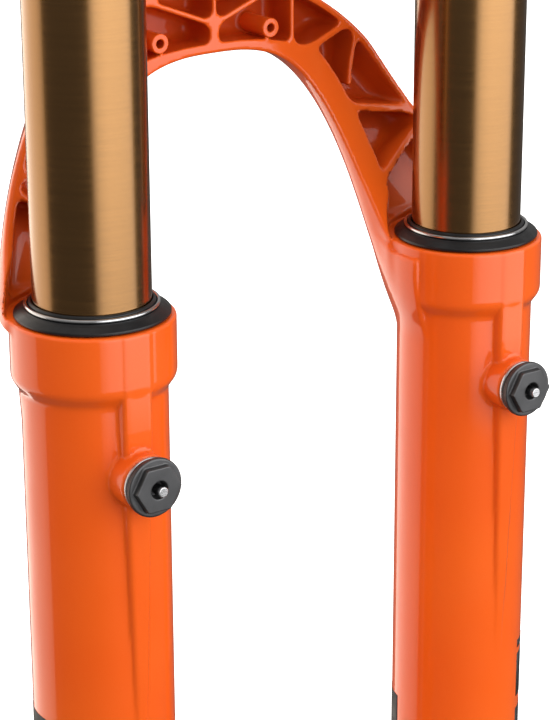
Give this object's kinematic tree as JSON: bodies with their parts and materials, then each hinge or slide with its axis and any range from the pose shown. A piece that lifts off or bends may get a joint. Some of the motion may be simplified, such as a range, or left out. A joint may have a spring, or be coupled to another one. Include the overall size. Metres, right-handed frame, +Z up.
{
  "type": "bicycle suspension fork",
  "caption": "Telescopic air-sprung bicycle suspension fork: crown with steerer, sliding stanchions, one-piece cast lower legs with arch, disc mount and thru-axle.",
  "frame": {"origin": "centre of the crown race seat on the steerer's axis", "axes": "+Z up along the steerer, -Y towards the front of the bicycle, +X to the rider's left (air-spring and disc-brake side)"},
  "size_m": [0.2056, 0.111, 0.8719],
  "materials": {
    "orange_paint": "gloss orange paint over cast magnesium",
    "gold_anodised": "gloss gold-brown slippery anodising",
    "black_anodised": "satin black anodising",
    "blue_anodised": "satin blue anodising",
    "red_anodised": "satin red anodising",
    "bare_aluminium": "machined, fine turning marks",
    "polished_steel": "polished",
    "valve_brass": "bright machined",
    "black_rubber": "matt moulded",
    "black_plastic": "fine moulded grain",
    "grey_foam": "open-cell foam",
    "bushing_bronze": "dull low-friction lining"
  },
  "bodies": {
    "upper": {"steerer_tube": "black_anodised", "crown": "black_anodised", "stanchion_left": "gold_anodised", "stanchion_right": "gold_anodised", "air_top_cap": "black_anodised", "air_valve_stem": "valve_brass", "volume_spacer_1": "black_plastic", "volume_spacer_2": "black_plastic", "air_tube": "bare_aluminium", "air_seal_head": "bare_aluminium", "damper_top_cap": "black_anodised", "damper_tube": "bare_aluminium", "base_valve": "bare_aluminium", "floating_piston_spring": "polished_steel", "damper_seal_head": "bare_aluminium"},
    "air_valve_pin": {"air_valve_pin": "valve_brass"},
    "air_cap_rise": {"air_cap_oring": "black_rubber"},
    "air_cap": {"air_cap": "blue_anodised"},
    "high_speed_compression_knob": {"high_speed_compression_knob": "blue_anodised"},
    "low_speed_compression_knob": {"low_speed_compression_knob": "black_anodised"},
    "floating_piston": {"damper_floating_piston": "bare_aluminium"},
    "lowers": {"lower_legs": "orange_paint", "upper_bushing_left": "bushing_bronze", "upper_bushing_right": "bushing_bronze", "lower_bushing_left": "bushing_bronze", "lower_bushing_right": "bushing_bronze", "foam_ring_left": "grey_foam", "foam_ring_right": "grey_foam", "dust_wiper_left": "black_rubber", "dust_wiper_right": "black_rubber", "garter_spring_left": "polished_steel", "garter_spring_right": "polished_steel", "bleed_washer_left": "bare_aluminium", "bleed_washer_right": "bare_aluminium", "bleed_oring_left": "black_rubber", "bleed_oring_right": "black_rubber", "bleed_valve_left": "black_anodised", "bleed_valve_right": "black_anodised", "crush_washer_left": "bare_aluminium", "crush_washer_right": "bare_aluminium", "foot_nut_left": "polished_steel", "foot_nut_right": "polished_steel", "air_shaft": "bare_aluminium", "air_piston": "bare_aluminium", "air_piston_seal": "black_rubber", "top_out_bumper": "black_rubber", "bottom_out_bumper": "black_rubber", "damper_rod": "polished_steel", "rebound_piston": "bare_aluminium", "axle_sleeve": "bare_aluminium", "pinch_bolt": "polished_steel", "hose_guide": "black_plastic", "hose_guide_screw": "polished_steel"},
    "bleed_button_left": {"bleed_button_left": "polished_steel"},
    "bleed_button_right": {"bleed_button_right": "polished_steel"},
    "high_speed_rebound_dial": {"high_speed_rebound_dial": "black_anodised"},
    "low_speed_rebound_knob": {"low_speed_rebound_knob": "red_anodised"},
    "axle_withdrawal": {"axle_oring": "black_rubber"},
    "axle": {"axle": "black_anodised"}
  },
  "joints": [
    {"name": "fork_travel", "type": "slide", "parent": "upper", "child": "lowers", "axis": [0, 0, 1], "range_m": [0, 0.17], "stiffness_N_per_m": 4000, "springref_m": -0.03},
    {"name": "floating_piston_slide", "type": "slide", "parent": "upper", "child": "floating_piston", "axis": [0, 0, 1], "range_m": [0, 0.0285], "deforming": ["floating_piston_spring"]},
    {"name": "air_valve_press", "type": "slide", "parent": "upper", "child": "air_valve_pin", "axis": [0, 0, -1], "range_m": [0, 0.0012], "stiffness_N_per_m": 600, "springref_m": -0.001},
    {"name": "air_cap_lift", "type": "slide", "parent": "upper", "child": "air_cap_rise", "axis": [0, 0, 1], "range_m": [0, 0.0045]},
    {"name": "air_cap_turn", "type": "hinge", "parent": "air_cap_rise", "child": "air_cap", "pos_m": [0.0764, -0.024, 0], "axis": [0, 0, 1], "range_deg": [0, 1625]},
    {"name": "high_speed_compression_turn", "type": "hinge", "parent": "upper", "child": "high_speed_compression_knob", "pos_m": [-0.0764, -0.024, 0], "axis": [0, 0, 1], "range_deg": [0, 200]},
    {"name": "low_speed_compression_turn", "type": "hinge", "parent": "upper", "child": "low_speed_compression_knob", "pos_m": [-0.0764, -0.024, 0], "axis": [0, 0, 1], "range_deg": [0, 360]},
    {"name": "high_speed_rebound_turn", "type": "hinge", "parent": "lowers", "child": "high_speed_rebound_dial", "pos_m": [-0.0764, -0.024, -0.584], "axis": [0, 0, -1], "range_deg": [0, 200]},
    {"name": "low_speed_rebound_turn", "type": "hinge", "parent": "lowers", "child": "low_speed_rebound_knob", "pos_m": [-0.0764, -0.024, -0.584], "axis": [0, 0, -1], "range_deg": [0, 360]},
    {"name": "bleed_press_left", "type": "slide", "parent": "lowers", "child": "bleed_button_left", "axis": [0, -1, 0], "range_m": [0, 0.0015], "stiffness_N_per_m": 800, "springref_m": -0.001},
    {"name": "bleed_press_right", "type": "slide", "parent": "lowers", "child": "bleed_button_right", "axis": [0, -1, 0], "range_m": [0, 0.0015], "stiffness_N_per_m": 800, "springref_m": -0.001},
    {"name": "axle_slide", "type": "slide", "parent": "lowers", "child": "axle_withdrawal", "axis": [-1, 0, 0], "range_m": [0, 0.166]},
    {"name": "axle_turn", "type": "hinge", "parent": "axle_withdrawal", "child": "axle", "pos_m": [0, -0.044, -0.584], "axis": [1, 0, 0], "continuous": true}
  ],
  "couplings": [
    {"joint": "floating_piston_slide", "follows": "fork_travel", "ratio": 0.165},
    {"joint": "air_cap_turn", "follows": "air_cap_lift", "rad_per_m": 6283.2}
  ]
}
